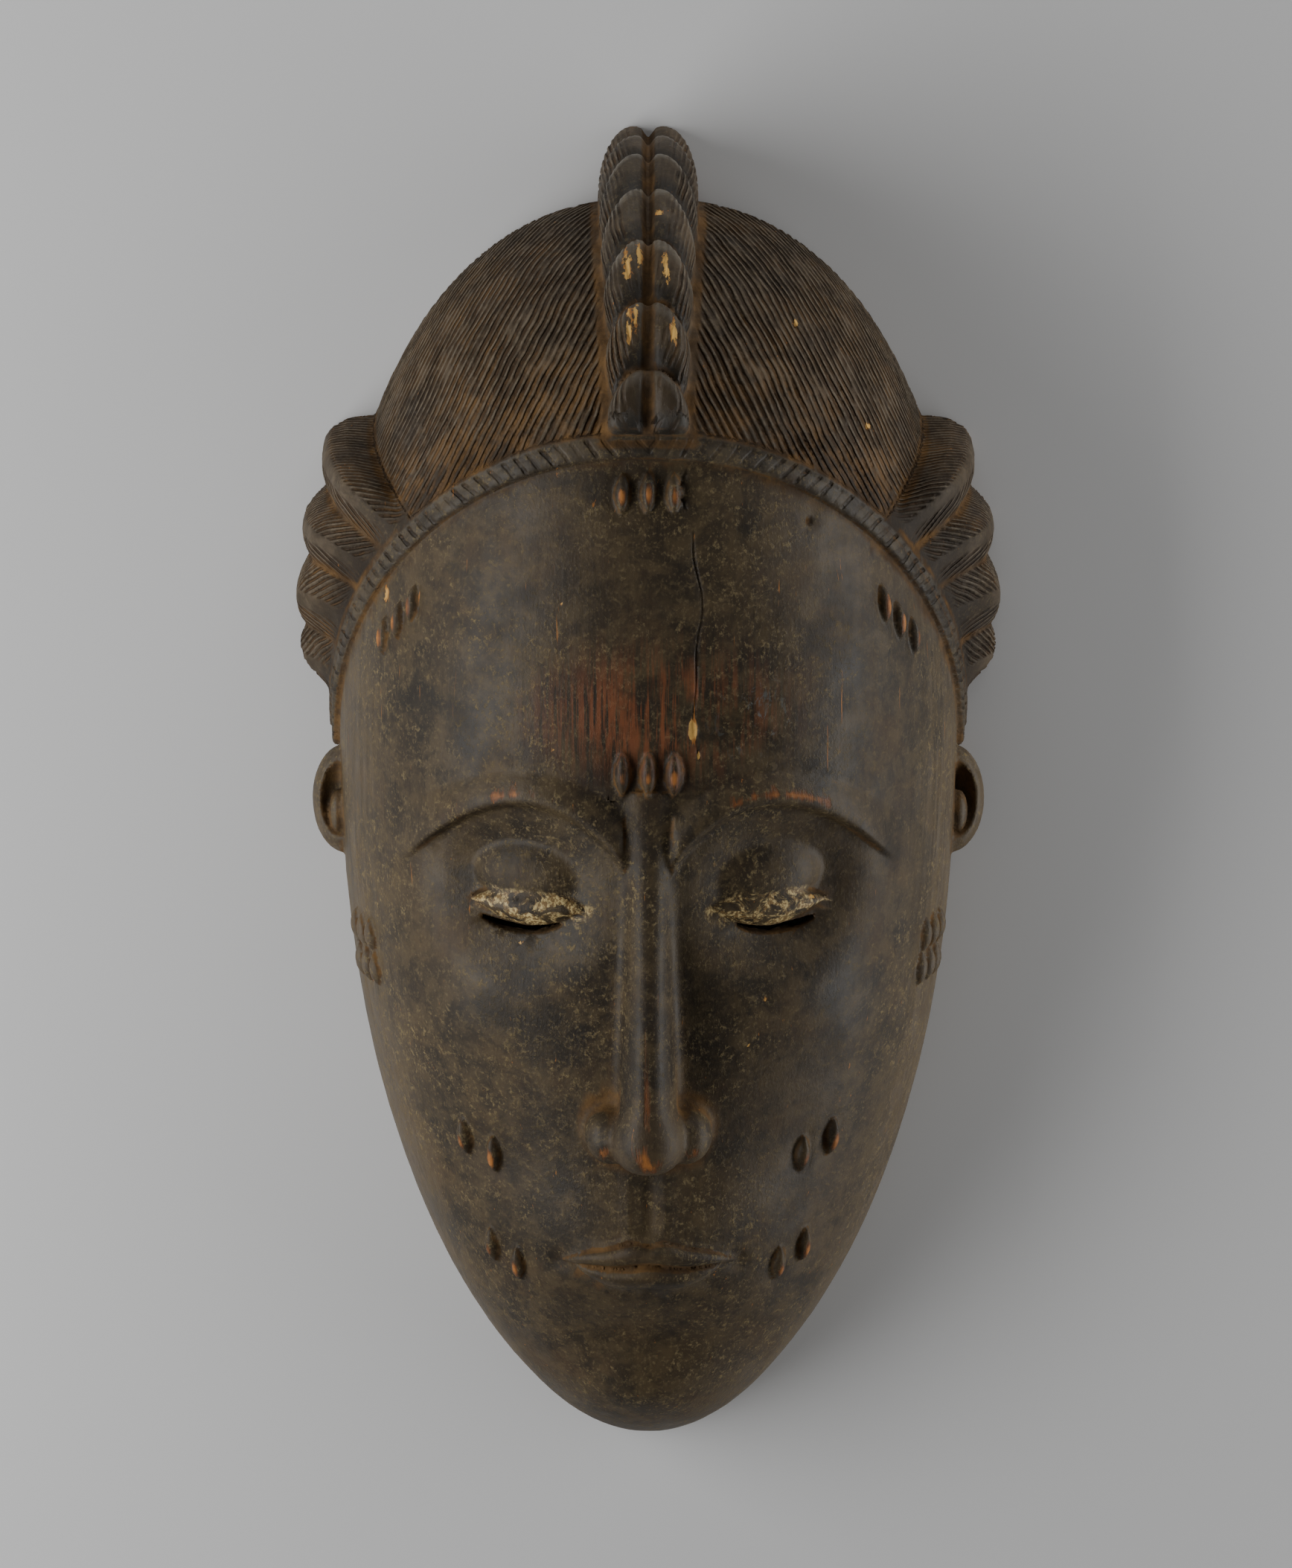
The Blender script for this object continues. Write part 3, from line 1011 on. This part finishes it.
def scaled(k):
    n = tree.nodes.new("ShaderNodeMapping")
    n.inputs["Scale"].default_value = k
    tree.links.new(coord, n.inputs["Vector"])
    return n.outputs[0]


def grain(scale, detail=3.0, rough=0.55, stretch=None, twist=0.0):
    n = tree.nodes.new("ShaderNodeTexNoise")
    put(n.inputs["Vector"], scaled(stretch) if stretch else coord)
    n.inputs["Scale"].default_value = scale
    n.inputs["Detail"].default_value = detail
    n.inputs["Roughness"].default_value = rough
    n.inputs["Distortion"].default_value = twist
    return n.outputs["Fac"]


def blend(a, b, share):
    n = tree.nodes.new("ShaderNodeMix")
    n.data_type = "RGBA"
    put(n.inputs[0], share)
    put(n.inputs[6], a)
    put(n.inputs[7], b)
    return n.outputs[2]


def layer(name):
    n = tree.nodes.new("ShaderNodeAttribute")
    n.attribute_name = name
    return n.outputs["Fac"]


cavity_, cut_, sharp_, hair_, crest_ = (layer(k) for k in ("cavity", "cut", "sharp", "hair", "crest"))
inner_, wear_, chip_, warm_, scuff_, pigment_ = (layer(k) for k in ("inner", "wear", "chip", "warm", "scuff", "pigment"))
line_, deep_, band_, low_ = (layer(k) for k in ("line", "deep", "band", "low"))
lobe_, pale_, dust_, upper_, gouge_ = (layer(k) for k in ("lobe", "pale", "dust", "upper", "gouge"))
face_ = times(minus(hair_), minus(inner_))
wander = math_node("MULTIPLY", math_node("SUBTRACT", grain(110, 3, 0.55), 0.5), 0.5)
place = math_node("PINGPONG", math_node("ADD", line_, wander), 0.5)
strokes = times(ramp(place, math_node("MULTIPLY", grain(90, 2, 0.5), 0.16), ramp(band_, 0.0, 1.0, 0.38, 0.24), 1.0, 0.0), ramp(grain(150, 3, 0.7), 0.32, 0.56, 0.45, 1.25), ramp(deep_, 0.0, 0.6))
strokes = math_node("MINIMUM", strokes, 1.0)
crown_ = times(ramp(place, 0.26, 0.48), ramp(deep_, 0.1, 0.5))
cut_ = plus(cut_, strokes)
broad = grain(16, 3, 0.6)
middle = grain(55, 4, 0.6)
fibre = grain(420, 4, 0.65, (1, 0.07, 1))
fleck_a = grain(1200, 2, 0.6, (1, 0.7, 1))
fleck_b = grain(400, 4, 0.8)
mottle = grain(120, 4, 0.7, None, 0.4)

# the dark skin
skin = blend((0.022, 0.0160, 0.0098), (0.047, 0.0325, 0.0178), ramp(broad, 0.35, 0.68))
skin = blend(skin, (0.064, 0.038, 0.017), times(ramp(middle, 0.48, 0.72), 0.5))
skin = blend(skin, (0.010, 0.008, 0.006), times(ramp(fibre, 0.52, 0.74), 0.55))
# hair: greyer and duller on the ridges
dull = blend((0.044, 0.032, 0.019), (0.112, 0.084, 0.054), ramp(mottle, 0.33, 0.67))
skin = blend(skin, dull, times(hair_, minus(cut_), ramp(broad, 0.30, 0.62, 0.35, 0.95), plus(minus(crest_), ramp(upper_, 0.0, 1.0, 0.1, 0.8)), minus(times(low_, 0.75))))
skin = blend(skin, (0.150, 0.122, 0.086), times(hair_, crown_, ramp(grain(320, 4, 0.7), 0.42, 0.62), minus(cut_), 0.6, minus(times(low_, 0.6))))
skin = blend(skin, (0.044, 0.041, 0.035), times(band_, minus(cut_), ramp(mottle, 0.36, 0.6, 0.2, 0.7)))
skin = blend(skin, (0.011, 0.009, 0.007), times(crest_, minus(ramp(lobe_, 0.0, 0.42)), 0.8))
skin = blend(skin, (0.165, 0.150, 0.122), times(crest_, ramp(lobe_, 0.80, 1.0), ramp(fibre, 0.34, 0.6, 0.3, 1.0), minus(cut_), ramp(upper_, 0.0, 1.0, 0.25, 0.75)))
skin = blend(skin, (0.150, 0.140, 0.118), times(crest_, ramp(sharp_, 0.30, 0.75), ramp(fibre, 0.36, 0.6, 0.3, 1.0), minus(cut_), ramp(upper_, 0.0, 1.0, 0.15, 0.6)))
skin = blend(skin, (0.016, 0.011, 0.007), times(low_, ramp(middle, 0.3, 0.6, 0.55, 0.9)))
skin = blend(skin, (0.128, 0.102, 0.072), times(pale_, ramp(fibre, 0.34, 0.66, 0.35, 1.0), ramp(middle, 0.3, 0.62, 0.45, 1.0), 0.72))
# dust and flecks on the face
spread = ramp(grain(22, 3, 0.6), 0.36, 0.62)
flecks = times(ramp(fleck_a, 0.50, 0.66), ramp(fleck_b, 0.40, 0.60), ramp(spread, 0.0, 1.0, 0.3, 1.0))
blots = times(ramp(fleck_b, 0.54, 0.66), spread)
spots = times(ramp(grain(620, 1, 0.4), 0.63, 0.69), ramp(grain(60, 2, 0.5), 0.45, 0.6, 0.2, 1.0))
dusty = plus(times(flecks, 0.8), times(blots, 0.55), times(spots, 0.28))
skin = blend(skin, (0.170, 0.128, 0.060), times(dusty, ramp(hair_, 0.0, 1.0, 1.0, 0.32), minus(pigment_)))
skin = blend(skin, (0.088, 0.062, 0.030), times(face_, ramp(mottle, 0.40, 0.64), 0.5))
skin = blend(skin, (0.013, 0.0105, 0.008), times(face_, ramp(grain(42, 4, 0.72), 0.50, 0.66), minus(pale_), 0.62))
# old dirt in the cuts and hollows
earth = blend((0.055, 0.030, 0.012), (0.125, 0.066, 0.022), ramp(mottle, 0.38, 0.66))
skin = blend(skin, (0.012, 0.0075, 0.004), times(cut_, 0.88))
skin = blend(skin, earth, times(cut_, hair_, plus(ramp(broad, 0.40, 0.60, 0.15, 0.62), times(dust_, 0.5))))
skin = blend(skin, earth, times(dust_, ramp(mottle, 0.42, 0.6), 0.5))
lodged = times(ramp(cavity_, 0.10, 0.62), ramp(middle, 0.28, 0.58, 0.45, 1.0), minus(times(pigment_, 0.8)))
skin = blend(skin, earth, times(lodged, 0.86))
# reddish worn forehead with upright fibres, and a blue-grey scuff beside it
upright = grain(700, 3, 0.7, (1, 0.05, 1))
skin = blend(skin, (0.175, 0.058, 0.022), times(warm_, ramp(upright, 0.40, 0.58), ramp(middle, 0.32, 0.52), 0.95))
skin = blend(skin, (0.115, 0.130, 0.128), times(scuff_, ramp(grain(300, 4, 0.7, (1, 0.5, 1), 0.8), 0.56, 0.64), 0.7))
# rubbed high spots
thin = ramp(math_node("ADD", wear_, math_node("MULTIPLY", math_node("SUBTRACT", upright, 0.5), 1.3)), 0.42, 0.78)
rubbed = blend((0.110, 0.042, 0.015), (0.34, 0.135, 0.034), ramp(math_node("ADD", times(wear_, 0.8), times(fibre, 0.6)), 0.72, 1.15))
skin = blend(skin, rubbed, times(thin, minus(inner_)))
skin = blend(skin, (0.110, 0.075, 0.045), times(ramp(sharp_, 0.62, 0.95), ramp(middle, 0.4, 0.6), minus(cut_), 0.45, minus(inner_)))
bare = blend((0.26, 0.105, 0.025), (0.60, 0.36, 0.10), ramp(math_node("ADD", times(fibre, 0.7), times(chip_, 0.4)), 0.42, 0.72))
skin = blend(skin, bare, ramp(math_node("ADD", chip_, math_node("MULTIPLY", math_node("SUBTRACT", upright, 0.5), 2.6)), 0.50, 0.66))
# pale clay left on the closed eyes
clay = times(pigment_, ramp(grain(210, 5, 0.75, (0.7, 1, 1), 1.0), 0.45, 0.57))
skin = blend(skin, blend((0.20, 0.125, 0.048), (0.56, 0.43, 0.20), ramp(fleck_a, 0.44, 0.60)), times(clay, 0.9))
# the hollow: bare, stained wood
back_wood = blend((0.088, 0.056, 0.031), (0.170, 0.112, 0.064), ramp(grain(260, 5, 0.6, (1, 0.06, 1)), 0.35, 0.68))
back_wood = blend(back_wood, (0.040, 0.027, 0.017), ramp(broad, 0.45, 0.72, 0.0, 0.75))
back_wood = blend(back_wood, (0.050, 0.034, 0.020), times(lodged, 0.5))
back_wood = blend(back_wood, (0.046, 0.029, 0.016), times(minus(gouge_), ramp(grain(70, 3, 0.6), 0.3, 0.6, 0.3, 1.0), 0.6))
back_wood = blend(back_wood, (0.022, 0.015, 0.010), times(ramp(grain(9, 3, 0.6), 0.52, 0.7), ramp(mottle, 0.3, 0.6), 0.6))
skin = blend(skin, back_wood, inner_)
put(bsdf.inputs["Base Color"], skin)

gloss = ramp(middle, 0.3, 0.7, 0.42, 0.56)
gloss = math_node("ADD", gloss, times(hair_, minus(crest_), 0.17))
gloss = math_node("ADD", gloss, times(lodged, 0.30))
gloss = math_node("ADD", gloss, times(dusty, face_, 0.22))
gloss = math_node("ADD", gloss, times(inner_, 0.30))
gloss = math_node("SUBTRACT", gloss, times(scuff_, 0.10))
put(bsdf.inputs["Roughness"], math_node("MINIMUM", math_node("ADD", gloss, times(fibre, 0.08)), 0.95))
bsdf.inputs["Specular IOR Level"].default_value = 0.23

tall = math_node("ADD", times(fibre, 0.55), times(fleck_a, 0.5))
tall = math_node("ADD", tall, times(dusty, 0.35))
tall = math_node("SUBTRACT", tall, times(thin, upright, 0.9))
bump = tree.nodes.new("ShaderNodeBump")
bump.inputs["Strength"].default_value = 0.38
bump.inputs["Distance"].default_value = 0.00035
put(bump.inputs["Height"], tall)
deeper = tree.nodes.new("ShaderNodeBump")
deeper.inputs["Strength"].default_value = 0.85
deeper.inputs["Distance"].default_value = 0.0006
put(deeper.inputs["Height"], math_node("SUBTRACT", 1.0, strokes))
put(deeper.inputs["Normal"], bump.outputs["Normal"])
put(bsdf.inputs["Normal"], deeper.outputs["Normal"])
mesh.materials.clear()
mesh.materials.append(wood)

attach(carving, "root")
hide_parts("mask")

# ---------------------------------------------------------------- floor, light, camera
floor_mesh = bpy.data.meshes.new("floor")
floor_mesh.from_pydata([(-6, -6, -5e-5), (6, -6, -5e-5), (6, 6, -5e-5), (-6, 6, -5e-5)], [], [(0, 1, 2, 3)])
floor = bpy.data.objects.new("floor", floor_mesh)
bpy.context.scene.collection.objects.link(floor)
pale = bpy.data.materials.new("pale_floor")
pale.use_nodes = True
pale.node_tree.nodes["Principled BSDF"].inputs["Base Color"].default_value = (0.58, 0.58, 0.58, 1)
pale.node_tree.nodes["Principled BSDF"].inputs["Roughness"].default_value = 0.9
floor_mesh.materials.append(pale)


def area_light(name, at, to, size, power, colour=(1, 1, 1)):
    data = bpy.data.lights.new(name, "AREA")
    data.shape = "RECTANGLE"
    data.size, data.size_y = size
    data.energy = power
    data.color = colour
    lamp = bpy.data.objects.new(name, data)
    lamp.location = at
    lamp.rotation_euler = (Vector(to) - Vector(at)).to_track_quat("-Z", "Y").to_euler()
    bpy.context.scene.collection.objects.link(lamp)
    return lamp


area_light("key", (-0.63, -0.05, 0.43), (0, -0.02, 0.03), (0.9, 0.4), 7.4)
area_light("strip", (0.80, -0.04, 0.16), (0, 0.0, 0.13), (1.3, 0.20), 7.4)
area_light("crown", (0.12, 0.95, 0.20), (0, 0.1, 0.11), (0.9, 0.2), 2.8)
world = bpy.data.worlds.new("studio")
world.use_nodes = True
world.node_tree.nodes["Background"].inputs["Color"].default_value = (1, 1, 1, 1)
world.node_tree.nodes["Background"].inputs["Strength"].default_value = 0.10
bpy.context.scene.world = world

DISTANCE, MM_PER_PX = 2.6, 0.2094
look_way = Vector((0, -math.sin(ALPHA), -math.cos(ALPHA)))
up = Vector((0, math.cos(ALPHA), -math.sin(ALPHA)))
# the photograph's (871, 1056.5) is the point y = 3.2 mm of the carving, 15 mm up
mark = Vector((0, (3.2 + SHIFT) / 1000, 0.015))
centre = mark + Vector((1, 0, 0)) * ((868 - 871) * MM_PER_PX / 1000) - up * ((1053.5 - 1056.5) * MM_PER_PX / 1000)
cam_data = bpy.data.cameras.new("camera")
cam_data.sensor_fit = "VERTICAL"
cam_data.sensor_height = 24
cam_data.lens = 24 * DISTANCE / (2107 * MM_PER_PX / 1000)
cam_data.clip_end = 50
camera = bpy.data.objects.new("camera", cam_data)
place = centre - look_way * DISTANCE
camera.matrix_world = Matrix.Translation(place) @ Matrix((Vector((1, 0, 0)), up, -look_way)).transposed().to_4x4()
bpy.context.scene.collection.objects.link(camera)
bpy.context.scene.camera = camera

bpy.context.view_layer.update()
say("done")
